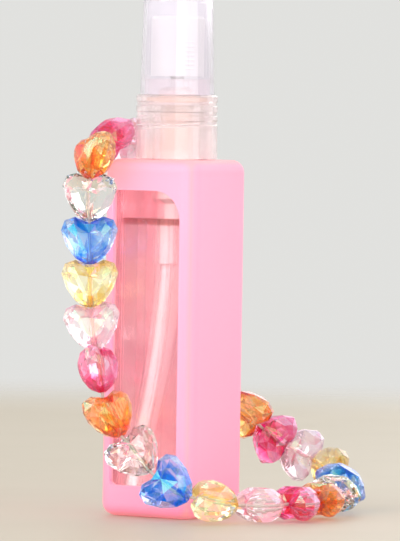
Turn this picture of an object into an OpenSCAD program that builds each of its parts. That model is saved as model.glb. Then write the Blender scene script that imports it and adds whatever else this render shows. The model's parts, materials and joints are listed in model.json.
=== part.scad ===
// Square travel perfume bottle in a silicone sleeve, with a screw-on mist pump, a clear overcap
// and a strap of faceted heart beads tied round its neck.
// Frame: millimetres, +Z up, origin at the centre of the sleeve's base, window towards -Y.

/* [Sleeve] */
// Outer width of the square sleeve
sleeve_w = 26.8; // [26.4:0.1:27.2]
// Height of the sleeve
sleeve_h = 88; // [86:0.5:92]
// Thickness of the silicone
sleeve_wall = 1.6; // [1.4:0.1:1.7]
// Radius of the upright corners
sleeve_corner_r = 4.2; // [4:0.05:4.6]
// Radius of the top and bottom edges
sleeve_edge_r = 3.1; // [2.4:0.1:3.2]
// Width of the window in the front face
window_w = 19.3; // [16:0.1:19.6]
// Distance from the window to the top and to the base
window_margin = 7.6; // [6:0.1:10]
// Radius of the window's two large corners
window_big_r = 7.2; // [4:0.1:8]
// Radius of the window's two small corners
window_small_r = 1.2; // [0.8:0.1:3]

/* [Glass bottle] */
// Thickness of the glass walls
glass_wall = 1.9; // [1.6:0.1:2.4]
// Thickness of the glass base
glass_base = 4.2; // [3:0.1:6]
// Radius of the bottle's upright edges
glass_corner_r = 2.6; // [2:0.1:3]
// Outer radius of the neck, without its thread
neck_r = 7.9; // [7.8:0.05:8]
// Bore radius of the neck
neck_bore_r = 5.2; // [5:0.1:5.6]
// Height of the neck above the shoulder
neck_h = 15.2; // [15:0.1:15.4]
// Height of the liquid's surface above the sleeve's base
liquid_level = 73.5; // [40:0.5:75]

/* [Thread] */
// Rise of the thread in one turn
thread_pitch = 3.175; // [3:0.005:3.3]
// Radius of the crest of the bottle's thread
thread_crest_r = 8.75; // [8.6:0.05:8.8]

/* [Collar] */
// Outer radius of the screw collar
collar_r = 10.1; // [10:0.05:10.4]
// Height of the collar's skirt
collar_h = 15.8; // [15.6:0.1:16]
// Outer radius of the ring that holds the overcap
snap_ring_r = 8.1; // [8:0.05:8.2]
// Height of that ring
snap_ring_h = 3.8; // [3.4:0.1:3.8]

/* [Pump] */
// Outer radius of the pump's barrel
barrel_r = 4.1; // [4:0.05:4.3]
// Length of the barrel below its flange
barrel_len = 24; // [22:0.5:26]
// Length of the narrow foot of the housing, which holds the dip tube
foot_len = 16; // [12:0.5:18]
// Travel of the spray stroke
stroke = 4.2; // [3.8:0.1:4.5]
// Outer radius of the dip tube
tube_r = 1.85; // [1.5:0.05:2]

/* [Actuator and overcap] */
// Radius of the actuator
actuator_r = 6.6; // [6:0.1:6.7]
// Height of the actuator
actuator_h = 15; // [13:0.1:16]
// Direction of the spray, from the front towards the right
nozzle_turn = -122; // [-180:1:180]
// Radius of the overcap at its rim
cap_r = 9.2; // [9.1:0.05:9.6]
// Radius of the overcap at its top
cap_top_r = 8.6; // [8.5:0.05:9.2]
// Height of the overcap
cap_h = 24.5; // [24:0.5:30]
// Thickness of the overcap's wall
cap_wall = 1; // [0.8:0.05:1]

/* [Bead strap] */
// Diameter of the elastic cord
cord_d = 0.8; // [0.6:0.1:1]
// Number of heart beads
bead_count = 24; // [20:1:24]
// Distance from one bead to the next, along the cord
bead_pitch = 10.6; // [10.5:0.1:10.7]
// Width of a heart bead
bead_w = 14; // [12:0.1:14.5]
// Length of a heart bead, along the cord
bead_len = 11.7; // [11:0.1:12]
// Thickness of a heart bead
bead_t = 8.2; // [7:0.1:8.6]

/* [Hidden] */
$fn = 64;
HULL_FN = 32;
EPS = 0.01;

// Clearances between one piece and the next
fit_gap = 0.1;
slide_gap = 0.05;

// Heights of the stack, from the base upwards
glass_w = sleeve_w - 2 * (sleeve_wall + fit_gap);
glass_z0 = sleeve_wall + fit_gap;
shoulder_z = sleeve_h - sleeve_wall - fit_gap;
cavity_w = glass_w - 2 * glass_wall;
cavity_top = shoulder_z - 2.4;
cavity_corner_r = 1.6;
neck_top = shoulder_z + neck_h;
gasket_t = 0.8;
flange_z = neck_top + gasket_t;
flange_t = 1;
flange_r = 7.6;
turret_r = 4.6;
collar_z0 = sleeve_h + 0.2;
collar_top = collar_z0 + collar_h;
collar_bore_r = 9;
// Heights of the grooves round the collar, above its lower edge
collar_grooves = [8.8, 11, 13.5];
groove_w = 1.2;
groove_depth = 0.22;
deck_z = flange_z + flange_t + slide_gap;
deck_hole_r = turret_r + 0.3;
turret_top = deck_z + 2.4;

// Barrel and piston
barrel_bore_r = 3.3;
barrel_z0 = flange_z - barrel_len;
foot_r = 2.45;
foot_z0 = barrel_z0 - foot_len;
retainer_len = 3;
piston_h = 2.6;
piston_z = flange_z - retainer_len - piston_h - slide_gap;
stem_r = 1.7;
stem_bore_r = 0.6;
stem_top = turret_top + 10.5;
seat_z = barrel_z0 - 0.5;
ball_r = 1.2;
ball_bore_r = 1.28;
inlet_r = 0.7;
spring_r = 2.35;
spring_wire_r = 0.35;
spring_turns = 6;
spring_z0 = barrel_z0 + 1.75 + spring_wire_r;
spring_z1 = piston_z - spring_wire_r - 0.02;
tube_bore_r = 1.25;
socket_len = 6;

// Actuator and overcap
actuator_z0 = collar_top + stroke + 0.3;
actuator_top = actuator_z0 + actuator_h;
nozzle_z = actuator_z0 + 9;
nozzle_r = 2.1;
cap_z0 = collar_top + 0.05;
cap_top_t = 1.1;

// Threads: both are right-handed, and the collar's starts half a turn on, so it lies between
// the turns of the bottle's
helix_steps = 20;
thread_root_w = 1.3;
thread_crest_w = 0.6;
neck_thread_z = neck_top - 6;
neck_thread_turns = 1.5;
collar_thread_turns = 1;
collar_thread_crest_r = neck_r + 0.25;

// Neck loop and knot that hold the strap
loop_r = neck_r + 0.45;
loop_z = shoulder_z + 0.45;
knot_r = 0.82;
knot_y = loop_r + 0.75;
knot_z = shoulder_z + 0.88;
loop_hole_r = loop_r + 0.85;
notch_w = 3.2;
notch_reach = 11.6;

// Dip tube: from the pump's socket down to the front left corner of the glass
tube_route = [[0, 0, foot_z0 + socket_len], [0, 0, 61], [-0.2, -0.2, 56], [-0.8, -0.7, 49], [-1.6, -1.4, 41],
    [-2.8, -2.4, 32], [-4.4, -3.8, 22], [-5.8, -5.3, 12], [-6.4, -6, 7]];

// Route of the strap's cord: out of the knot behind the neck, over the left edge, down the front
// left corner, across the front, round on the table at the right, and up the back to the knot
cord_route = [[0.5, 9.3, 87.2], [0.2, 12, 88.6], [-4.5, 13.2, 89.4], [-10.6, 11.6, 90.8], [-15.2, 7.4, 92.2],
    [-16.8, 1, 92.5], [-15.6, -5, 92.4], [-13.4, -11.6, 92.8], [-11.6, -17.4, 92.8], [-11.4, -21, 89.6],
    [-11.4, -21.2, 83], [-11.7, -21, 75], [-11.6, -20.6, 65], [-11.6, -20.4, 55], [-10.3, -20.6, 45],
    [-7.9, -21, 34.5], [-5.2, -20.8, 25], [3.2, -20.8, 15.8], [12.4, -20.2, 8.2], [23, -14.6, 4.8],
    [31, -5.6, 4.4], [34.5, 4.5, 4.4], [33.9, 16.5, 4.5], [30.6, 28.5, 5.4], [26.4, 38, 7], [21.2, 46.2, 8.8],
    [14.6, 48, 10.8], [9.4, 42.4, 14.8], [10, 32.4, 17.8], [8.6, 25.4, 22.4], [1.4, 21.2, 30.6],
    [-0.8, 19.6, 42], [-0.4, 18.8, 54], [0.5, 18.6, 66], [1, 18.6, 77], [0.8, 17.8, 86], [0, 14.8, 89],
    [-0.5, 12, 88.8], [-0.5, 9.3, 87.2]];
cord_rings = 76;
cord_sides = 8;
first_bead_at = 26.8;
// Beads 8 to 22 lie in the strap's bends, where each stands this much further from the last
bend_beads = [8, 22];
bend_gap = 1.4;
// Bead 2 sits on the sleeve's top edge, where the strap turns down and leaves a gap before the next
corner_gap = [2, 4.5];
// Turn of each bead about the cord, in degrees
bead_turns = [50, 45, 65, 20, 0, 0, 0, -70, -30, 55, 75, 25, 0, 0, 0, 8, 30, 75, 80, 65, 55, 90, -50, -30];
// Colours repeat in this order, beginning again at every sixth bead
bead_colors = ["hotpink", "orange", "aliceblue", "royalblue", "khaki", "lightpink"];

function bead_name(i) = str("bead_", i < 10 ? "0" : "", i);

// ---- Curves -------------------------------------------------------------------------------

// The dip tube's route with its first and last points moved out, for a hole right through
function past_ends(route) = let (last = len(route) - 1)
    [for (i = [0 : last]) route[i] + (i == 0 ? [0, 0, 1] : i == last ? [0, 0, -1] : [0, 0, 0])];

// A point on the smooth curve through a, b, c and d, from b (t = 0) to c (t = 1)
function curve_point(a, b, c, d, t) = 0.5 * (2 * b + (c - a) * t + (2 * a - 5 * b + 4 * c - d) * t * t
    + (3 * b - a - 3 * c + d) * t * t * t);

// The route's points joined by a smooth curve, with n steps from each to the next
function smooth(route, n) = let (last = len(route) - 1) concat(
    [for (i = [0 : last - 1], k = [0 : n - 1]) curve_point(
        i > 0 ? route[i - 1] : 2 * route[0] - route[1], route[i], route[i + 1],
        i + 2 <= last ? route[i + 2] : 2 * route[last] - route[last - 1], k / n)],
    [route[last]]);

// Distance along a curve to each of its points
function distances(p, i = 1, sum = [0]) = i == len(p) ? sum
    : distances(p, i + 1, concat(sum, [sum[i - 1] + norm(p[i] - p[i - 1])]));

// The point at distance d along a curve, whose points p lie at the distances s
function along(p, s, d) = [for (axis = [0 : 2]) lookup(d, [for (i = [0 : len(p) - 1]) [s[i], p[i][axis]]])];

function unit(v) = v / norm(v);

// The points of a tube of radius r about a curve: one ring of sides points at each of its points
function tube_points(p, r, sides) = [for (i = [0 : len(p) - 1])
    let (last = len(p) - 1,
        t = unit(p[min(i + 1, last)] - p[max(i - 1, 0)]),
        u = unit(cross(t, [0.31, 0.42, 0.85])),
        v = cross(t, u))
    for (k = [0 : sides - 1]) p[i] + r * (cos(360 * k / sides) * u + sin(360 * k / sides) * v)];

// Faces of rings of n points laid one after another, closed at both ends
function ring_faces(rings, n) = concat(
    [[for (k = [0 : n - 1]) k]],
    [for (i = [0 : rings - 2], k = [0 : n - 1])
        [i * n + k, (i + 1) * n + k, (i + 1) * n + (k + 1) % n, i * n + (k + 1) % n]],
    [[for (k = [n - 1 : -1 : 0]) (rings - 1) * n + k]]);

module swept_tube(p, r, sides) {
    polyhedron(points = tube_points(p, r, sides), faces = ring_faces(len(p), sides), convexity = 10);
}

// ---- Shared shapes ------------------------------------------------------------------------

// A square of side w with corners of radius r, about the origin
module rounded_square(w, r) {
    square([w, w - 2 * r], center = true);
    square([w - 2 * r, w], center = true);
    for (x = [-1, 1], y = [-1, 1])
        translate([x * (w / 2 - r), y * (w / 2 - r)]) circle(r = r);
}

module rounded_block(w, r, z0, z1) {
    translate([0, 0, z0]) linear_extrude(height = z1 - z0) rounded_square(w, r);
}

// A ring or a disc, from radius r0 to r1 and from z0 to z1
module ring(r0, r1, z0, z1) {
    rotate_extrude() translate([r0, z0]) square([r1 - r0, z1 - z0]);
}

// A section, as points [radius, height], carried round the Z axis while it rises
module helix(section, z0, rise, turns) {
    rings = round(turns * helix_steps) + 1;
    points = [for (i = [0 : rings - 1])
        let (angle = 360 * i / helix_steps, z = z0 + rise * i / (rings - 1))
        for (q = section) [q[0] * cos(angle), q[0] * sin(angle), z + q[1]]];
    polyhedron(points = points, faces = ring_faces(rings, len(section)), convexity = 10);
}

// A screw thread's ridge of trapezoid section, from root_r to crest_r
module thread_ridge(root_r, crest_r, z0, turns) {
    helix([[root_r, -thread_root_w / 2], [crest_r, -thread_crest_w / 2],
        [crest_r, thread_crest_w / 2], [root_r, thread_root_w / 2]], z0, thread_pitch * turns, turns);
}

// ---- Sleeve, bottle and liquid ------------------------------------------------------------

module window_outline() {
    top = sleeve_h - window_margin;
    half = window_w / 2;
    hull() {
        for (z = [window_margin + window_small_r, top - window_small_r])
            translate([-half + window_small_r, z]) circle(r = window_small_r, $fn = HULL_FN);
        for (z = [window_margin + window_big_r, top - window_big_r])
            translate([half - window_big_r, z]) circle(r = window_big_r, $fn = HULL_FN);
    }
}

module sleeve_block() {
    at = sleeve_w / 2 - sleeve_corner_r;
    flat = sleeve_corner_r - sleeve_edge_r;
    hull()
        for (x = [-at, at], y = [-at, at], z = [sleeve_edge_r, sleeve_h - sleeve_edge_r])
            translate([x, y, z]) rotate_extrude($fn = HULL_FN) {
                translate([flat, 0]) intersection() {
                    circle(r = sleeve_edge_r, $fn = HULL_FN);
                    translate([0, -sleeve_edge_r]) square([sleeve_edge_r, 2 * sleeve_edge_r]);
                }
                translate([0, -sleeve_edge_r]) square([flat, 2 * sleeve_edge_r]);
            }
}

module silicone_sleeve() {
    color("pink", 0.9) difference() {
        sleeve_block();
        rounded_block(glass_w + 2 * fit_gap, glass_corner_r + fit_gap, sleeve_wall, sleeve_h - sleeve_wall);
        translate([0, 0, sleeve_h - 2 * sleeve_wall]) cylinder(r = loop_hole_r, h = 3 * sleeve_wall);
        translate([-notch_w / 2, 0, sleeve_h - 2 * sleeve_wall])
            cube([notch_w, notch_reach, 3 * sleeve_wall]);
        translate([0, -sleeve_w / 4, 0]) rotate([90, 0, 0])
            linear_extrude(height = sleeve_w / 2) window_outline();
    }
}

module glass_bottle() {
    color("mistyrose", 0.35) difference() {
        union() {
            rounded_block(glass_w, glass_corner_r, glass_z0, shoulder_z);
            translate([0, 0, cavity_top]) cylinder(r = neck_r, h = neck_top - cavity_top);
            thread_ridge(neck_r - 0.3, thread_crest_r, neck_thread_z, neck_thread_turns);
        }
        rounded_block(cavity_w, cavity_corner_r, glass_z0 + glass_base, cavity_top);
        translate([0, 0, cavity_top - 1]) cylinder(r = neck_bore_r, h = neck_top - cavity_top + 2);
    }
}

module perfume_liquid() {
    floor_z = glass_z0 + glass_base + fit_gap;
    color("lightsalmon", 0.5) difference() {
        rounded_block(cavity_w - 2 * fit_gap, cavity_corner_r - fit_gap, floor_z, liquid_level);
        translate([0, 0, foot_z0 - fit_gap]) cylinder(r = foot_r + 2 * fit_gap, h = liquid_level);
        swept_tube(smooth(past_ends(tube_route), 2), tube_r + 2.5 * fit_gap, 12);
    }
}

// ---- Collar and pump ----------------------------------------------------------------------

// Section of a groove round the collar, centred at height z
function groove(z) = let (inner_r = collar_r - groove_depth, inner_half = groove_w / 2 - groove_depth)
    [[collar_r, z - groove_w / 2], [inner_r, z - inner_half], [inner_r, z + inner_half],
        [collar_r, z + groove_w / 2]];

module screw_collar() {
    chamfer = 0.5;
    color("lightpink", 0.7) {
        rotate_extrude() polygon([[collar_bore_r, collar_z0], [collar_r, collar_z0],
            for (h = collar_grooves) each groove(collar_z0 + h),
            [collar_r, collar_top - chamfer], [collar_r - chamfer, collar_top], [snap_ring_r, collar_top],
            [snap_ring_r, collar_top + snap_ring_h], [snap_ring_r - 0.8, collar_top + snap_ring_h],
            [snap_ring_r - 0.8, collar_top], [deck_hole_r, collar_top], [deck_hole_r, deck_z],
            [collar_bore_r, deck_z]]);
        rotate([0, 0, 180])
            thread_ridge(collar_bore_r + 0.3, collar_thread_crest_r, neck_thread_z, collar_thread_turns);
    }
}

module neck_gasket() {
    color("whitesmoke") ring(barrel_r + 0.1, flange_r, neck_top, flange_z);
}

module pump_housing() {
    color("bisque", 0.8) rotate_extrude() polygon([[barrel_bore_r, barrel_z0 + 1.6],
        [barrel_bore_r, flange_z + flange_t], [flange_r, flange_z + flange_t], [flange_r, flange_z],
        [barrel_r, flange_z], [barrel_r, barrel_z0],
        [foot_r, barrel_z0 - 1.2], [foot_r, foot_z0], [tube_r, foot_z0], [tube_r, foot_z0 + socket_len],
        [inlet_r, foot_z0 + socket_len], [inlet_r, seat_z - 1.6], [ball_bore_r, seat_z - 0.6],
        [ball_bore_r, barrel_z0 + 1.6]]);
}

module pump_retainer() {
    throat_r = stem_r + slide_gap;
    color("white") rotate_extrude() polygon([[throat_r, flange_z - retainer_len],
        [barrel_bore_r, flange_z - retainer_len], [barrel_bore_r, flange_z + flange_t],
        [turret_r, flange_z + flange_t], [turret_r, turret_top - 0.8],
        [turret_r - 1.6, turret_top], [throat_r, turret_top]]);
}

module dip_tube() {
    color("white", 0.6) difference() {
        swept_tube(smooth(tube_route, 3), tube_r, 12);
        swept_tube(smooth(past_ends(tube_route), 3), tube_bore_r, 12);
    }
}

module inlet_ball() {
    color("silver") translate([0, 0, seat_z - 0.35]) sphere(r = ball_r);
}

module return_spring() {
    wire = [for (k = [0 : 5]) [spring_r + spring_wire_r * cos(60 * k), spring_wire_r * sin(60 * k)]];
    color("silver") helix(wire, spring_z0, spring_z1 - spring_z0, spring_turns);
}

module piston() {
    color("white") rotate_extrude() polygon([[stem_r, piston_z], [barrel_bore_r - slide_gap, piston_z],
        [barrel_bore_r - slide_gap, piston_z + 0.6], [barrel_bore_r - 0.6, piston_z + 1],
        [barrel_bore_r - 0.6, piston_z + piston_h - 1],
        [barrel_bore_r - slide_gap, piston_z + piston_h - 0.6],
        [barrel_bore_r - slide_gap, piston_z + piston_h], [stem_r, piston_z + piston_h]]);
}

module pump_stem() {
    color("white") difference() {
        translate([0, 0, piston_z]) cylinder(r = stem_r, h = stem_top - piston_z);
        translate([0, 0, piston_z + 1]) cylinder(r = stem_bore_r, h = stem_top);
        translate([-stem_r - 1, 0, piston_z + 1.6]) rotate([0, 90, 0])
            cylinder(r = 0.3, h = 2 * stem_r + 2);
    }
}

// ---- Actuator and overcap -----------------------------------------------------------------

// Along +X in the nozzle's own frame, which is turned to face the spray's direction
module facing_spray() {
    rotate([0, 0, nozzle_turn - 90]) translate([0, 0, nozzle_z]) rotate([0, 90, 0]) children();
}

module actuator() {
    wall = 1.1;
    edge = 0.8;
    boss_r = 3.2;
    boss_z = turret_top + stroke + 0.3;
    socket_r = stem_r + slide_gap;
    dish_r = 22;
    color("white") difference() {
        union() {
            rotate_extrude() polygon([[socket_r, boss_z], [boss_r, boss_z], [boss_r, actuator_top - 3],
                [actuator_r - wall, actuator_top - 3], [actuator_r - wall, actuator_z0],
                [actuator_r, actuator_z0], [actuator_r, actuator_top - edge],
                [actuator_r - edge, actuator_top], [0, actuator_top], [0, stem_top + EPS],
                [socket_r, stem_top + EPS]]);
            intersection() {
                cylinder(r = actuator_r - EPS, h = actuator_top);
                facing_spray() translate([0, 0, stem_r + 0.6]) cylinder(r = nozzle_r + 1, h = actuator_r);
            }
        }
        translate([0, 0, actuator_top + dish_r - 0.9]) sphere(r = dish_r);
        facing_spray() translate([0, 0, actuator_r - 2.4]) cylinder(r = nozzle_r, h = actuator_r);
        facing_spray() cylinder(r = 0.5, h = actuator_r);
        translate([0, 0, stem_top - 1]) cylinder(r = stem_bore_r, h = nozzle_z - stem_top + 1);
    }
}

module nozzle_insert() {
    color("lavender") facing_spray() rotate_extrude()
        polygon([[0.2, actuator_r - 2.2], [nozzle_r - slide_gap, actuator_r - 2.2],
            [nozzle_r - slide_gap, actuator_r - 0.5], [1.1, actuator_r - 0.5], [0.2, actuator_r - 0.9]]);
}

module overcap() {
    edge = 1.1;
    top = cap_z0 + cap_h;
    lip = 0.35;
    inner_rim_r = snap_ring_r + slide_gap;
    color("lavender", 0.4) rotate_extrude() {
        polygon([[inner_rim_r, cap_z0], [cap_r, cap_z0], [cap_r, cap_z0 + 0.8], [cap_top_r, top - edge],
            [cap_top_r - edge, top - edge], [cap_top_r - cap_wall, top - cap_top_t - 0.6],
            [inner_rim_r + lip - 0.3, cap_z0 + 3.8], [inner_rim_r, cap_z0 + 3.2]]);
        translate([cap_top_r - edge, top - edge]) intersection() {
            circle(r = edge);
            square(edge);
        }
        translate([0, top - cap_top_t]) square([cap_top_r - edge, cap_top_t]);
    }
}

// ---- Strap --------------------------------------------------------------------------------

module neck_loop() {
    color("white") translate([0, 0, loop_z]) rotate_extrude() translate([loop_r, 0]) circle(r = cord_d / 2);
}

module strap_knot() {
    color("white") translate([0, knot_y, knot_z]) sphere(r = knot_r);
}

cord_curve = smooth(cord_route, 8);
cord_at = distances(cord_curve);
cord_len = cord_at[len(cord_at) - 1];
function on_cord(d) = along(cord_curve, cord_at, d);

module strap_cord() {
    color("white")
        swept_tube([for (i = [0 : cord_rings]) on_cord(cord_len * i / cord_rings)], cord_d / 2, cord_sides);
}

// Right half of the heart's outline as [across, along], from the notch to the blunt tip
half_heart = [[0, -0.37], [0.25, -0.5], [0.43, -0.43], [0.5, -0.22], [0.41, 0.1], [0.25, 0.37], [0.08, 0.5]];

// One ring of the heart, drawn in by scale, with its surface at height and a valley between the lobes
function heart_ring(scale, height) = let (
    right = [for (q = half_heart) [q[0] * bead_w, q[1] * bead_len]],
    left = [for (i = [len(right) - 1 : -1 : 1]) [-right[i][0], right[i][1]]],
    middle = 0.02 * bead_len)
    [for (q = concat(right, left)) let (x = q[0] * scale, y = middle + (q[1] - middle) * scale,
        valley = 1 - 0.3 * max(0, 1 - abs(x) / 2.2) * max(0, 0.5 - y / bead_len))
        [x, height * valley, y]];

module heart_bead() {
    half_t = bead_t / 2;
    rings = concat(heart_ring(0.5, -half_t), heart_ring(0.86, -0.66 * half_t), heart_ring(1, -0.12 * half_t),
        heart_ring(1, 0.12 * half_t), heart_ring(0.86, 0.66 * half_t), heart_ring(0.5, half_t));
    n = 2 * len(half_heart) - 1;
    difference() {
        polyhedron(points = rings, faces = ring_faces(6, n), convexity = 4);
        translate([0, 0, -bead_len]) cylinder(r = cord_d / 2 + 0.2, h = 2 * bead_len, $fn = 24);
    }
}

// A bead at its place on the cord: its tip points along the cord, and its width lies level at turn 0
module bead(i) {
    bends = max(0, min(i, bend_beads[1]) - bend_beads[0]);
    past_corner = i > corner_gap[0] ? corner_gap[1] : 0;
    d = first_bead_at + bead_pitch * (i - 1) + bend_gap * bends + past_corner;
    back = on_cord(d - bead_len * 0.4);
    front = on_cord(d + bead_len * 0.4);
    t = unit(front - back);
    side = abs(t[2]) > 0.75 ? [cos(32), sin(32), 0] : [-t[1], t[0], 0];
    u = unit(side - (side * t) * t);
    v = cross(t, u);
    c = (back + front) / 2;
    color(bead_colors[(i + 4) % 6], 0.8)
        multmatrix([[u[0], v[0], t[0], c[0]], [u[1], v[1], t[1], c[1]], [u[2], v[2], t[2], c[2]],
            [0, 0, 0, 1]]) rotate([0, 0, bead_turns[i - 1]]) heart_bead();
}

// ---- Nodes --------------------------------------------------------------------------------

silicone_sleeve();
glass_bottle();
perfume_liquid();
screw_collar();
neck_gasket();
pump_housing();
pump_retainer();
dip_tube();
inlet_ball();
return_spring();
piston();
pump_stem();
actuator();
nozzle_insert();
overcap();
neck_loop();
strap_knot();
strap_cord();
for (i = [1 : bead_count]) {
    bead(i);
}
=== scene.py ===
"""The looks of the perfume bottle: camera, strap, knot, finger grip, materials, floor and light."""
import json
import math

import bmesh
import bpy
from mathutils import Matrix, Vector


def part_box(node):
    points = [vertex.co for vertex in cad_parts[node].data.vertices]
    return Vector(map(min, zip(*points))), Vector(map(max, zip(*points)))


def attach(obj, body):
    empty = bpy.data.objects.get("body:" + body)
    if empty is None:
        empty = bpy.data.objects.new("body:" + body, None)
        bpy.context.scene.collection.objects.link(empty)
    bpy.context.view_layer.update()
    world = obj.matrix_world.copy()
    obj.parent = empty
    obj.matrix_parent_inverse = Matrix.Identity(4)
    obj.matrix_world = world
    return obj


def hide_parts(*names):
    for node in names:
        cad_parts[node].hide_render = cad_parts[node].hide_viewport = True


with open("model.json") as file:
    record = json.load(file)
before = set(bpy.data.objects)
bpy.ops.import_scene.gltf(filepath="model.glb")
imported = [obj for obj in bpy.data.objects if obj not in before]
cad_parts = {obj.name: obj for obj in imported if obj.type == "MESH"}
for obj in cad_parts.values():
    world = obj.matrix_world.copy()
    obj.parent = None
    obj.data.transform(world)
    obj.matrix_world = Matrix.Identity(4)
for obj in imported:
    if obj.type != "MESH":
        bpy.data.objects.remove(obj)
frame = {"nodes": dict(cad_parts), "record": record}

MM = 0.001
nodes = frame["nodes"]
scene = bpy.context.scene
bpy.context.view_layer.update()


# ---- Making objects ---------------------------------------------------------------------------

def add_object(name, data):
    """A new object in the scene with that data."""
    made = bpy.data.objects.new(name, data)
    scene.collection.objects.link(made)
    return made


def mesh_of(name, work):
    """A mesh with what the bmesh holds. The bmesh is freed."""
    mesh = bpy.data.meshes.new(name)
    work.to_mesh(mesh)
    work.free()
    return mesh


def applied(thing):
    """The mesh that an object shows, with its bevel or modifiers applied."""
    shown = thing.evaluated_get(bpy.context.evaluated_depsgraph_get())
    return bpy.data.meshes.new_from_object(shown)


# ---- Camera -----------------------------------------------------------------------------------

# The azimuth turns from the front, -Y, towards +X
VIEW_AZIMUTH = math.radians(32)
VIEW_ELEVATION = math.radians(1.98)
VIEW_ROLL = math.radians(0.9)
VIEW_DISTANCE = 1.3008
VIEW_TARGET = Vector((5.36, 3.35, 60.6)) * MM
LENS_MM = 473
SENSOR_MM = 36


def make_camera():
    """A long lens level with the collar, rolled a little, so that the bottle leans to the right."""
    data = bpy.data.cameras.new("camera")
    data.sensor_fit = "HORIZONTAL"
    data.sensor_width = SENSOR_MM
    data.lens = LENS_MM
    data.clip_start = 0.05
    data.clip_end = 20
    back = Vector((math.sin(VIEW_AZIMUTH) * math.cos(VIEW_ELEVATION),
                   -math.cos(VIEW_AZIMUTH) * math.cos(VIEW_ELEVATION),
                   math.sin(VIEW_ELEVATION)))
    turn = back.to_track_quat("Z", "Y").to_matrix().to_4x4() @ Matrix.Rotation(VIEW_ROLL, 4, "Z")
    camera = add_object("camera", data)
    camera.matrix_world = Matrix.Translation(VIEW_TARGET + back * VIEW_DISTANCE) @ turn
    scene.camera = camera


make_camera()


# ---- Strap cord -------------------------------------------------------------------------------

CORD_D = 0.8 * MM
# The cord's route in millimetres, the same points as in part.scad: from the knot behind the neck
# over the left edge, down the front left corner, across the front, round the table and up the back
CORD_ROUTE = [
    (0.5, 9.3, 87.2), (0.2, 12, 88.6), (-4.5, 13.2, 89.4), (-10.6, 11.6, 90.8), (-15.2, 7.4, 92.2),
    (-16.8, 1, 92.5), (-15.6, -5, 92.4), (-13.4, -11.6, 92.8), (-11.6, -17.4, 92.8),
    (-11.4, -21, 89.6), (-11.4, -21.2, 83), (-11.7, -21, 75), (-11.6, -20.6, 65),
    (-11.6, -20.4, 55), (-10.3, -20.6, 45), (-7.9, -21, 34.5), (-5.2, -20.8, 25),
    (3.2, -20.8, 15.8), (12.4, -20.2, 8.2), (23, -14.6, 4.8), (31, -5.6, 4.4), (34.5, 4.5, 4.4),
    (33.9, 16.5, 4.5), (30.6, 28.5, 5.4), (26.4, 38, 7), (21.2, 46.2, 8.8), (14.6, 48, 10.8),
    (9.4, 42.4, 14.8), (10, 32.4, 17.8), (8.6, 25.4, 22.4), (1.4, 21.2, 30.6), (-0.8, 19.6, 42),
    (-0.4, 18.8, 54), (0.5, 18.6, 66), (1, 18.6, 77), (0.8, 17.8, 86), (0, 14.8, 89),
    (-0.5, 12, 88.8), (-0.5, 9.3, 87.2)]
ROUTE_STEPS = 8


def curve_point(a, b, c, d, t):
    """A point on the smooth curve through a, b, c and d, from b (t = 0) to c (t = 1)."""
    return 0.5 * (2 * b + (c - a) * t + (2 * a - 5 * b + 4 * c - d) * t ** 2
                  + (3 * b - a - 3 * c + d) * t ** 3)


def smooth(route, steps):
    """The route's points joined by a smooth curve, with that many steps from each to the next."""
    p = [Vector(q) for q in route]
    p = [2 * p[0] - p[1]] + p + [2 * p[-1] - p[-2]]
    line = [curve_point(*p[i:i + 4], k / steps) for i in range(len(p) - 3) for k in range(steps)]
    return line + [p[-2]]


def tube(name, points, radius, closed=False):
    """A round tube along points: the mesh of a curve with a bevel."""
    data = bpy.data.curves.new(name, "CURVE")
    data.dimensions = "3D"
    data.bevel_depth = radius
    data.bevel_resolution = 3
    data.use_fill_caps = True
    spline = data.splines.new("POLY")
    spline.points.add(len(points) - 1)
    for place, point in zip(spline.points, points):
        place.co = (*point, 1)
    spline.use_cyclic_u = closed
    curve = add_object(name + "_line", data)
    mesh = applied(curve)
    bpy.data.objects.remove(curve)
    return add_object(name, mesh)


LINE = [p * MM for p in smooth(CORD_ROUTE, ROUTE_STEPS)]


# ---- Heart beads ------------------------------------------------------------------------------

BEAD_W, BEAD_L, BEAD_T = 14 * MM, 11.7 * MM, 8.2 * MM
BORE_R = 0.6 * MM
# Right half of the heart's outline as shares of its width and length, from the notch to the tip
HALF_HEART = [(0, -0.37), (0.25, -0.5), (0.43, -0.43), (0.5, -0.22), (0.41, 0.1), (0.25, 0.37),
              (0.08, 0.5)]
# Each ring of the cut: its share of the outline, its share of half the thickness, and whether its
# points stand halfway between the outline's, which makes the facets next to it three-sided
HEART_RINGS = [(0.48, -1, False), (0.82, -0.66, True), (1, -0.12, False),
               (1, 0.12, False), (0.82, 0.66, True), (0.48, 1, False)]
# The point on the bead's axis about which the rings are drawn in
HEART_CENTRE = Vector((0, 0.02 * BEAD_L))
# A groove fades out from the notch down the middle of both faces: its depth as a share of the
# thickness, and its half width
GROOVE_DEPTH = 0.3
GROOVE_HALF_W = 2.2 * MM
BEADS = sorted(n for n in nodes if n.startswith("bead_"))


def heart_outline(share, halfway):
    """The heart's outline drawn in to a share of its size, as (across, along)."""
    right = [Vector((x * BEAD_W, y * BEAD_L)) for x, y in HALF_HEART]
    ring = right + [Vector((-q.x, q.y)) for q in right[:0:-1]]
    if halfway:
        ring = [(q + ring[(i + 1) % len(ring)]) / 2 for i, q in enumerate(ring)]
    return [HEART_CENTRE + (q - HEART_CENTRE) * share for q in ring]


def heart_ring(work, share, level, halfway):
    """The vertices of one ring of the cut."""
    ring = []
    for q in heart_outline(share, halfway):
        near_middle = max(0, 1 - abs(q.x) / GROOVE_HALF_W)
        near_notch = max(0, 0.5 - q.y / BEAD_L)
        thickness = level * (1 - GROOVE_DEPTH * near_middle * near_notch) * BEAD_T
        ring.append(work.verts.new((q.x, thickness / 2, q.y)))
    return ring


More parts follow.
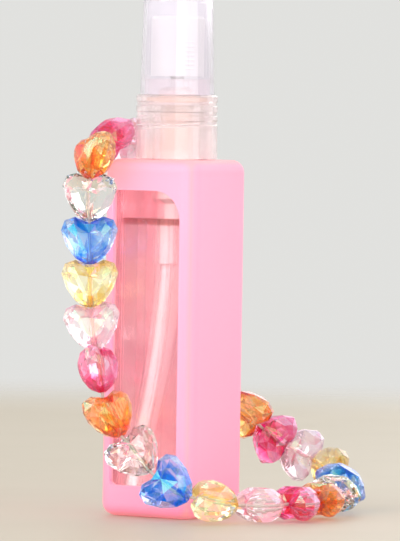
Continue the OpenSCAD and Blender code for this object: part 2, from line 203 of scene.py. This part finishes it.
def join_rings(work, low, low_halfway, high, high_halfway):
    """The facets between two rings: four-sided where the rings' points stand alike."""
    for i in range(len(low)):
        k = (i + 1) % len(low)
        if low_halfway == high_halfway:
            facets = [(low[i], low[k], high[k], high[i])]
        elif high_halfway:
            facets = [(low[i], low[k], high[i]), (low[k], high[k], high[i])]
        else:
            facets = [(low[i], high[k], high[i]), (low[i], low[k], high[k])]
        for corners in facets:
            work.faces.new(corners)


def heart_mesh():
    """A faceted heart about the origin: across it is X, through it is Y and its tip points to +Z."""
    work = bmesh.new()
    rings = [heart_ring(work, *cut) for cut in HEART_RINGS]
    halfway = [cut[2] for cut in HEART_RINGS]
    for i in range(len(rings) - 1):
        join_rings(work, rings[i], halfway[i], rings[i + 1], halfway[i + 1])
    work.faces.new(rings[0][::-1])
    work.faces.new(rings[-1])
    bmesh.ops.recalc_face_normals(work, faces=work.faces)
    return mesh_of("heart", work)


def bore_through(mesh):
    """The mesh with the cord's hole cut through it along Z."""
    work = bmesh.new()
    bmesh.ops.create_cone(work, cap_ends=True, segments=16, radius1=BORE_R, radius2=BORE_R,
                          depth=2 * BEAD_L)
    drill = add_object("drill", mesh_of("drill", work))
    blank = add_object("blank", mesh)
    cut = blank.modifiers.new("bore", "BOOLEAN")
    cut.operation = "DIFFERENCE"
    cut.solver = "EXACT"
    cut.object = drill
    bored = applied(blank)
    bpy.data.objects.remove(drill)
    bpy.data.objects.remove(blank)
    return bored


def along_cord(centre):
    """The cord's direction through a bead, from a point on it behind the centre to one ahead."""
    gap = 0.4 * BEAD_L
    nearest = min(range(1, len(LINE) - 1), key=lambda i: (LINE[i] - centre).length)
    ahead = next(p for p in LINE[nearest:] if (p - centre).length > gap)
    behind = next(p for p in LINE[nearest::-1] if (p - centre).length > gap)
    return (ahead - behind).normalized()


def widest_across(offsets, along):
    """The direction at right angles to the cord in which the points spread most."""
    a = along.orthogonal().normalized()
    b = along.cross(a)
    flat = [(q.dot(a), q.dot(b)) for q in offsets]
    slant = 2 * sum(x * y for x, y in flat)
    excess = sum(x * x - y * y for x, y in flat)
    angle = 0.5 * math.atan2(slant, excess)
    return math.cos(angle) * a + math.sin(angle) * b


def bead_place(node):
    """The matrix that carries the heart to a CAD bead: its tip along the cord, its width across."""
    points = [v.co for v in node.data.vertices]
    centroid = sum(points, Vector()) / len(points)
    offsets = [p - centroid for p in points]
    along = along_cord(centroid)
    across = widest_across(offsets, along)
    reach = [q.dot(along) for q in offsets]
    middle = centroid + along * (min(reach) + max(reach)) / 2
    turn = Matrix((across, along.cross(across), along)).transposed()
    return Matrix.Translation(middle) @ turn.to_4x4()


def make_beads():
    """A cut heart in place of each plain CAD bead. Beads of one colour share a mesh."""
    slots = {part["node"]: part["material_slot"] for part in frame["record"]["subparts"]}
    cut = bore_through(heart_mesh())
    meshes, beads = {}, []
    for node in BEADS:
        slot = slots[node]
        if slot not in meshes:
            meshes[slot] = cut.copy()
            meshes[slot].name = "heart_" + slot
        bead = add_object("heart_" + node, meshes[slot])
        bead.matrix_world = bead_place(nodes[node])
        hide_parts(node)
        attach(bead, "bottle")
        beads.append(bead)
    return meshes, beads


def make_cord():
    """The strap's cord, a smooth tube that carries the beads."""
    cord = tube("strap_cord_elastic", LINE, CORD_D / 2)
    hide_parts("strap_cord")
    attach(cord, "bottle")
    return cord


KNOT_STRAND_R = 0.27 * MM
KNOT_POINTS = 96
# The knot's line swings this far to each side in depth, where it reaches out 1 to 3 across
KNOT_DEPTH = 1.3


def make_knot():
    """The cord's ends tied behind the neck: a three-lobed knot as wide as the CAD knot."""
    low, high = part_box("strap_knot")
    middle = (low + high) / 2
    size = ((high.x - low.x) / 2 - KNOT_STRAND_R) / 3
    points = []
    for i in range(KNOT_POINTS):
        t = 2 * math.pi * i / KNOT_POINTS
        reach = 2 + math.cos(3 * t)
        depth = KNOT_DEPTH * math.sin(3 * t)
        place = Vector((reach * math.cos(2 * t), depth, reach * math.sin(2 * t)))
        points.append(middle + size * place)
    knot = tube("strap_overhand_knot", points, KNOT_STRAND_R, closed=True)
    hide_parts("strap_knot")
    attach(knot, "bottle")
    return knot


bead_meshes, beads = make_beads()
cord = make_cord()
knot = make_knot()


# ---- Finger grip ------------------------------------------------------------------------------

GRIP_BARS = 7
GRIP_PITCH = 1.1 * MM
GRIP_START = 1.6 * MM
GRIP_BAR_H = 0.55 * MM
GRIP_PROUD = 0.16 * MM
GRIP_SUNK = 0.1 * MM
GRIP_CHAMFER = 0.12 * MM
GRIP_DIRECTION = math.radians(-32)
GRIP_HALF_WIDTH = math.radians(10)
GRIP_STEPS = 8


def bar_profile(radius, low):
    """A bar's section as (distance from the axis, height), chamfered on its outside."""
    root = radius - GRIP_SUNK
    crest = radius + GRIP_PROUD
    high = low + GRIP_BAR_H
    return [(root, low), (crest - GRIP_CHAMFER, low), (crest, low + GRIP_CHAMFER),
            (crest, high - GRIP_CHAMFER), (crest - GRIP_CHAMFER, high), (root, high)]


def add_bar(work, profile):
    """A bar: its section swept a little way round the axis and closed at both ends."""
    rows = []
    for step in range(GRIP_STEPS + 1):
        angle = GRIP_DIRECTION + GRIP_HALF_WIDTH * (2 * step / GRIP_STEPS - 1)
        ray = Vector((math.cos(angle), math.sin(angle), 0))
        rows.append([work.verts.new(ray * r + Vector((0, 0, z))) for r, z in profile])
    for a, b in zip(rows, rows[1:]):
        for k in range(len(profile)):
            j = (k + 1) % len(profile)
            work.faces.new((a[k], a[j], b[j], b[k]))
    work.faces.new(rows[0])
    work.faces.new(rows[-1][::-1])


def make_grip():
    """A column of short moulded bars on the actuator, opposite its nozzle."""
    low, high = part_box("actuator")
    radius = (high.x - low.x) / 2
    work = bmesh.new()
    for bar in range(GRIP_BARS):
        add_bar(work, bar_profile(radius, low.z + GRIP_START + bar * GRIP_PITCH))
    bmesh.ops.recalc_face_normals(work, faces=work.faces)
    grip = add_object("actuator_grip", mesh_of("actuator_grip", work))
    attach(grip, "actuator")
    return grip


grip = make_grip()


# ---- Node trees -------------------------------------------------------------------------------

class Tree:
    """A material being built. Inputs are given by name; a socket as a value makes a link."""

    def __init__(self, name):
        self.material = bpy.data.materials.new(name)
        self.material.use_nodes = True
        self.tree = self.material.node_tree
        self.tree.nodes.clear()
        self.coords = self.add("TexCoord").outputs["Object"]

    def add(self, kind, inputs=None, **settings):
        """A shader node of that kind, with those inputs and settings."""
        node = self.tree.nodes.new("ShaderNode" + kind)
        for key, value in settings.items():
            setattr(node, key, value)
        for key, value in (inputs or {}).items():
            self.put(node.inputs[key], value)
        return node

    def put(self, socket, value):
        """Links a socket to a value that is a socket, or sets it to a number or colour."""
        if isinstance(value, bpy.types.NodeSocket):
            self.tree.links.new(value, socket)
        elif socket.type == "RGBA" and len(value) == 3:
            socket.default_value = (*value, 1)
        else:
            socket.default_value = value

    def vector(self, operation, *values):
        """The vector that a Vector Math node gives."""
        node = self.add("VectorMath", dict(enumerate(values)), operation=operation)
        return node.outputs["Vector"]

    def number(self, operation, *values):
        """The number that a Math node gives."""
        return self.add("Math", dict(enumerate(values)), operation=operation).outputs["Value"]

    def length(self, vector):
        return self.add("VectorMath", {0: vector}, operation="LENGTH").outputs["Value"]

    def axes(self, vector):
        return self.add("SeparateXYZ", {"Vector": vector}).outputs

    def spread(self, factor, low, high):
        """The factor's 0 to 1 as low to high."""
        inputs = {"Value": factor, "To Min": low, "To Max": high}
        return self.add("MapRange", inputs).outputs["Result"]

    def between(self, value, low, high):
        """0 where the value is low or less and 1 where it is high or more."""
        inputs = {"Value": value, "From Min": low, "From Max": high}
        return self.add("MapRange", inputs).outputs["Result"]

    def ramp(self, factor, stops):
        """Colours at places along factor: stops are (place, colour)."""
        node = self.add("ValToRGB", {"Fac": factor})
        marks = node.color_ramp.elements
        while len(marks) < len(stops):
            marks.new(0.5)
        for mark, (place, colour) in zip(marks, stops):
            mark.position = place
            mark.color = (*colour, 1)
        return node.outputs["Color"]

    def mixed(self, factor, a, b):
        """Colour a where factor is 0 and b where it is 1. The colour sockets go by number."""
        node = self.add("Mix", data_type="RGBA")
        self.put(node.inputs["Factor"], factor)
        self.put(node.inputs[6], a)
        self.put(node.inputs[7], b)
        return node.outputs[2]

    def noise(self, scale, detail, stretch=(1, 1, 1)):
        """0 to 1 in soft clouds, finer the higher the scale, drawn out along a low stretch."""
        place = self.add("Mapping", {"Vector": self.coords, "Scale": stretch}).outputs["Vector"]
        inputs = {"Vector": place, "Scale": scale, "Detail": detail}
        return self.add("TexNoise", inputs).outputs["Fac"]

    def own_noise(self, scale):
        """A noise that differs from one object to the next, although they share a mesh."""
        place = self.vector("ADD", self.coords, self.add("ObjectInfo").outputs["Location"])
        return self.add("TexNoise", {"Vector": place, "Scale": scale, "Detail": 1.0}).outputs["Fac"]

    def facet_shading(self):
        """About a half: the same all over a flat facet, and different from facet to facet, for
        painted light and shade on the facets.
        """
        facing = self.add("TexCoord").outputs["Normal"]
        apart = self.vector("MULTIPLY", self.add("ObjectInfo").outputs["Location"], (90, 90, 90))
        place = self.vector("ADD", facing, apart)
        return self.add("TexNoise", {"Vector": place, "Scale": 2.6, "Detail": 1.0}).outputs["Fac"]

    def off_axis(self, reach):
        """0 on the object's own Z axis and 1 at that distance from it, in metres."""
        return self.between(self.length(self.vector("MULTIPLY", self.coords, (1, 1, 0))), 0, reach)

    def off_centre(self, low, high):
        """0 inside a square of half width low about the Z axis, and 1 outside half width high."""
        sides = self.axes(self.vector("ABSOLUTE", self.coords))
        return self.between(self.number("MAXIMUM", sides["X"], sides["Y"]), low, high)

    def up(self, node):
        """0 at the foot of a CAD node and 1 at its top."""
        low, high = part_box(node)
        return self.between(self.axes(self.coords)["Z"], low.z, high.z)

    def bump(self, height, depth, strength=1.0):
        """A normal from a height map of that depth in metres."""
        inputs = {"Height": height, "Distance": depth, "Strength": strength}
        return self.add("Bump", inputs).outputs["Normal"]

    def principled(self, **inputs):
        """The Principled shader, its sockets named in lower case with underscores."""
        names = {k.replace("_", " ").title().replace("Ior", "IOR"): v for k, v in inputs.items()}
        return self.add("BsdfPrincipled", names).outputs["BSDF"]

    def blend(self, factor, a, b):
        """Shader a where factor is 0 and b where it is 1."""
        return self.add("MixShader", {0: factor, 1: a, 2: b}).outputs[0]

    def transparent(self, tint=(1, 1, 1)):
        return self.add("BsdfTransparent", {"Color": tint}).outputs["BSDF"]

    def translucent(self, colour):
        return self.add("BsdfTranslucent", {"Color": colour}).outputs["BSDF"]

    def lets_light_in(self, shader, tint, share=0.9):
        """The same shader with only a faint shadow of that tint, so what is inside is lit."""
        lamp = self.add("LightPath").outputs["Is Shadow Ray"]
        return self.blend(self.spread(lamp, 0, share), shader, self.transparent(tint))

    def finish(self, shader):
        self.tree.links.new(shader, self.add("OutputMaterial").inputs["Surface"])
        return self.material


# ---- Materials --------------------------------------------------------------------------------

# Half widths between which the sleeve's colour changes from the painted shade inside to its own
# colour outside
SHADED_INSIDE_HALF_W = 11.9 * MM
UNSHADED_OUTSIDE_HALF_W = 12.8 * MM


def silicone():
    """Soft pink silicone: matt, glowing where light comes through, with painted shade that deepens
    it at its base, at its top and inside.
    """
    t = Tree("silicone")
    grain = t.noise(1400, 3)
    cloud = t.noise(45, 2)
    # Painted shade: the height ramp is deeper at the sleeve's foot and on its top, where less light
    # falls.
    tone = t.ramp(t.up("silicone_sleeve"), [(0, (1.0, 0.40, 0.58)), (0.12, (1.0, 0.47, 0.65)),
                                            (0.95, (1.0, 0.52, 0.70)), (1, (1.0, 0.48, 0.64))])
    outside = t.mixed(t.spread(cloud, 0, 0.25), tone, (1.0, 0.60, 0.76))
    # Painted shade: the inner walls get a deeper coral than the outside, as if little light reached
    # them through the perfume.
    colour = t.mixed(t.off_centre(SHADED_INSIDE_HALF_W, UNSHADED_OUTSIDE_HALF_W), (1.0, 0.52, 0.57), outside)
    skin = t.principled(base_color=colour, roughness=t.spread(grain, 0.42, 0.56), ior=1.42,
                        sheen_weight=0.2, sheen_roughness=0.5,
                        normal=t.bump(grain, 0.03 * MM, 0.5))
    glowing = t.blend(0.35, skin, t.translucent(colour))
    return t.finish(t.lets_light_in(glowing, (1.0, 0.9, 0.92), 0.95))


def clear_glass():
    """Moulded glass, slightly uneven."""
    t = Tree("clear_glass")
    wave = t.noise(60, 1, (1, 1, 0.3))
    glass = t.principled(base_color=(1.0, 0.985, 0.985), roughness=t.spread(wave, 0.0, 0.03),
                         ior=1.45, transmission_weight=1.0, normal=t.bump(wave, 0.2 * MM, 0.3))
    softened = t.blend(0.35, glass, t.transparent((1.0, 0.97, 0.97)))
    return t.finish(t.lets_light_in(softened, (1.0, 0.98, 0.98), 1.0))


def perfume():
    """Pink perfume, a little cloudy, with a painted dark line of shade where its surface meets the
    glass.
    """
    t = Tree("perfume")
    # The dark top stop of the ramp is painted shade along the line where the liquid's surface meets
    # the glass.
    colour = t.ramp(t.up("perfume_liquid"), [(0, (1.0, 0.95, 0.94)), (0.7, (1.0, 0.93, 0.94)),
                                             (0.972, (1.0, 0.93, 0.94)),
                                             (0.978, (0.50, 0.18, 0.15))])
    drift = t.noise(80, 1)
    tone = t.mixed(t.spread(drift, 0, 0.3), colour, (1.0, 0.92, 0.92))
    liquid = t.principled(base_color=tone, roughness=0.03, ior=1.36, transmission_weight=0.95)
    cloudy = t.blend(0.05, liquid, t.translucent((1.0, 0.58, 0.62)))
    return t.finish(t.lets_light_in(cloudy, (1.0, 0.95, 0.95), 1.0))


def moulded(name, colour, other, clear=0.0, rough=(0.2, 0.32), ior=1.49):
    """Moulded plastic: two close tones, faint flow lines along the height and uneven gloss."""
    t = Tree(name)
    flow = t.noise(500, 2, (1, 1, 0.12))
    cloud = t.noise(120, 2)
    plastic = t.principled(base_color=t.mixed(cloud, colour, other), ior=ior,
                           roughness=t.spread(flow, *rough), transmission_weight=clear,
                           normal=t.bump(flow, 0.02 * MM, 0.35))
    return t.finish(t.lets_light_in(plastic, colour) if clear else plastic)


# Heights between which the pump's colour warms and darkens with painted shade, from its foot up to
# the retainer
PUMP_PALE_Z = 70 * MM
PUMP_SHADED_Z = 100 * MM


def pump_plastic():
    """The pump's natural plastic: milky white at its foot, and warmer and darker up in the closed
    collar, where the darkening is painted shade.
    """
    t = Tree("pump_plastic")
    flow = t.noise(500, 2, (1, 1, 0.12))
    height = t.between(t.axes(t.coords)["Z"], PUMP_PALE_Z, PUMP_SHADED_Z)
    # Painted shade: the pump's tone darkens to brown up inside the closed collar.
    tone = t.ramp(height, [(0, (0.99, 0.92, 0.92)), (0.4, (0.92, 0.80, 0.78)),
                           (0.7, (0.52, 0.34, 0.26))])
    return t.finish(t.principled(base_color=tone, roughness=t.spread(flow, 0.2, 0.32), ior=1.49,
                                 normal=t.bump(flow, 0.02 * MM, 0.35)))


def steel(name):
    """Drawn stainless steel with fine scratches."""
    t = Tree(name)
    scratch = t.noise(2500, 3, (1, 1, 0.1))
    tone = t.ramp(scratch, [(0.3, (0.6, 0.6, 0.62)), (0.7, (0.75, 0.75, 0.77))])
    return t.finish(t.principled(base_color=tone, metallic=1.0,
                                 roughness=t.spread(scratch, 0.18, 0.35)))


def elastic():
    """Smoky, half-clear elastic cord with a fine uneven skin."""
    t = Tree("elastic_cord")
    grain = t.noise(1800, 2)
    tone = t.mixed(grain, (0.80, 0.72, 0.66), (0.55, 0.46, 0.40))
    return t.finish(t.principled(base_color=tone, roughness=t.spread(grain, 0.25, 0.45), ior=1.5,
                                 transmission_weight=0.45, normal=t.bump(grain, 0.05 * MM)))


def faceted(name, colour, deep, pale, clear=0.85, film=380.0):
    """Faceted acrylic with a thin shimmering coat, a random swirl in its tint and painted light and
    shade: deep round the bore, pale at the lobes and changing from facet to facet.
    """
    t = Tree(name)
    # Painted light and shade: the tone is deep near the bore, pale at the lobes and different from
    # facet to facet, standing in for refraction; the swirl on top is random.
    swirl_and_facet_shade = t.number("ADD", t.spread(t.own_noise(190), -0.4, 0.4),
                      t.spread(t.facet_shading(), -1.1, 1.1))
    reach = t.number("ADD", t.off_axis(7.5 * MM), swirl_and_facet_shade)
    tone = t.ramp(reach, [(0.24, deep), (0.52, colour), (0.90, pale)])
    lines = t.noise(1500, 1, (1, 1, 0.06))
    acrylic = t.principled(base_color=tone, roughness=t.spread(lines, 0.0, 0.08), ior=1.5,
                           transmission_weight=clear, thin_film_thickness=film,
                           thin_film_ior=1.75, normal=t.bump(lines, 0.1 * MM, 0.25))
    return t.finish(t.lets_light_in(acrylic, tuple(0.8 + 0.2 * c for c in colour)))


# Each bead's own colour, with the deep and pale tones of its painted light and shade.
BEAD_COLOURS = {
    "hot_pink": dict(colour=(1.0, 0.12, 0.34), deep=(0.78, 0.0, 0.07), pale=(1.0, 0.62, 0.80)),
    "orange": dict(colour=(1.0, 0.40, 0.02), deep=(0.90, 0.06, 0.0), pale=(1.0, 0.74, 0.40)),
    "clear": dict(colour=(1.0, 0.95, 0.93), deep=(0.80, 0.86, 0.80), pale=(1.0, 0.99, 1.0),
                  clear=1.0, film=430.0),
    "blue": dict(colour=(0.18, 0.48, 1.0), deep=(0.0, 0.07, 0.85), pale=(0.80, 0.80, 1.0)),
    "yellow": dict(colour=(1.0, 0.84, 0.38), deep=(1.0, 0.60, 0.08), pale=(1.0, 0.95, 0.72)),
    "pale_pink": dict(colour=(1.0, 0.76, 0.84), deep=(1.0, 0.50, 0.62), pale=(1.0, 0.93, 0.96)),
}

# Moulded plastics: their two tones, and what differs from the usual in moulded()
PLASTICS = {
    "collar_plastic": dict(colour=(1.0, 0.94, 0.95), other=(1.0, 0.90, 0.91), clear=0.8,
                           rough=(0.1, 0.18), ior=1.4),
    "gasket_foam": dict(colour=(0.50, 0.40, 0.40), other=(0.42, 0.33, 0.34), rough=(0.6, 0.8)),
    "tube_plastic": dict(colour=(1.0, 1.0, 1.0), other=(1.0, 0.96, 0.97), rough=(0.08, 0.16)),
    "piston_plastic": dict(colour=(0.93, 0.91, 0.88), other=(0.86, 0.84, 0.8)),
    "actuator_plastic": dict(colour=(0.66, 0.64, 0.62), other=(0.63, 0.60, 0.60),
                             rough=(0.25, 0.4)),
    "nozzle_plastic": dict(colour=(0.76, 0.70, 0.88), other=(0.68, 0.6, 0.82)),
    "cap_plastic": dict(colour=(0.94, 0.92, 0.95), other=(0.91, 0.87, 0.94), clear=0.82,
                        rough=(0.02, 0.07)),
}


def make_materials():
    """The materials by the record's slot names."""
    made = {
        "silicone": silicone(),
        "clear_glass": clear_glass(),
        "perfume": perfume(),
        "pump_plastic": pump_plastic(),
        "steel": steel("steel"),
        "elastic_cord": elastic(),
    }
    for name, look in PLASTICS.items():
        made[name] = moulded(name, **look)
    for name, tones in BEAD_COLOURS.items():
        made["bead_" + name] = faceted("bead_" + name, **tones)
    return made


def paint(mesh, material):
    """Gives a mesh that material and no other."""
    mesh.materials.clear()
    mesh.materials.append(material)


def dress(materials):
    """Gives each CAD node and each piece the material of its slot."""
    for part in frame["record"]["subparts"]:
        paint(nodes[part["node"]].data, materials[part["material_slot"]])
    for slot, mesh in bead_meshes.items():
        paint(mesh, materials[slot])
    for piece in (cord, knot):
        paint(piece.data, materials["elastic_cord"])
    paint(grip.data, materials["actuator_plastic"])


dress(make_materials())


# ---- Floor and light --------------------------------------------------------------------------

FLOOR_RADIUS = 0.75
FLOOR_DROP = 0.2 * MM
FADE_START, FADE_END = 0.40, 0.62


def floor_material():
    """A pale, faintly clouded table top that fades out at its rim."""
    t = Tree("floor")
    inputs = {"Value": t.length(t.coords), "From Min": FADE_START, "From Max": FADE_END}
    fade = t.add("MapRange", inputs, interpolation_type="SMOOTHSTEP").outputs["Result"]
    tone = t.mixed(t.noise(30, 3), (0.455, 0.405, 0.325), (0.495, 0.44, 0.36))
    top = t.principled(base_color=tone, roughness=0.55)
    return t.finish(t.blend(fade, top, t.transparent()))


def make_floor():
    """A round table top just below the bottle's base."""
    work = bmesh.new()
    bmesh.ops.create_circle(work, cap_ends=True, segments=96, radius=FLOOR_RADIUS)
    floor = add_object("floor", mesh_of("floor", work))
    floor.location.z = -FLOOR_DROP
    paint(floor.data, floor_material())


def area_light(name, place, size, power):
    """A white rectangular lamp at a place, aimed at the middle of the bottle."""
    middle = Vector((0, 0, 0.06))
    data = bpy.data.lights.new(name, "AREA")
    data.shape = "RECTANGLE"
    data.size, data.size_y = size
    data.energy = power
    lamp = add_object(name, data)
    lamp.location = place
    lamp.rotation_euler = (Vector(place) - middle).to_track_quat("Z", "Y").to_euler()


def make_light():
    """A pale grey studio: lamps in front to the left and right, at the right side, and behind."""
    world = bpy.data.worlds.new("studio")
    world.use_nodes = True
    back = world.node_tree.nodes["Background"]
    back.inputs["Color"].default_value = (0.755, 0.755, 0.735, 1)
    back.inputs["Strength"].default_value = 1.0
    scene.world = world
    area_light("key", (-0.35, -0.9, 0.6), (0.8, 0.8), 8.5)
    area_light("front", (0.75, -0.7, 0.4), (0.8, 0.9), 4.2)
    area_light("side", (1.0, -0.1, 0.4), (0.6, 0.9), 3.0)
    area_light("rim", (0.1, 0.9, 0.6), (1.4, 1.0), 6.0)
    scene.view_settings.view_transform = "Standard"


make_floor()
make_light()
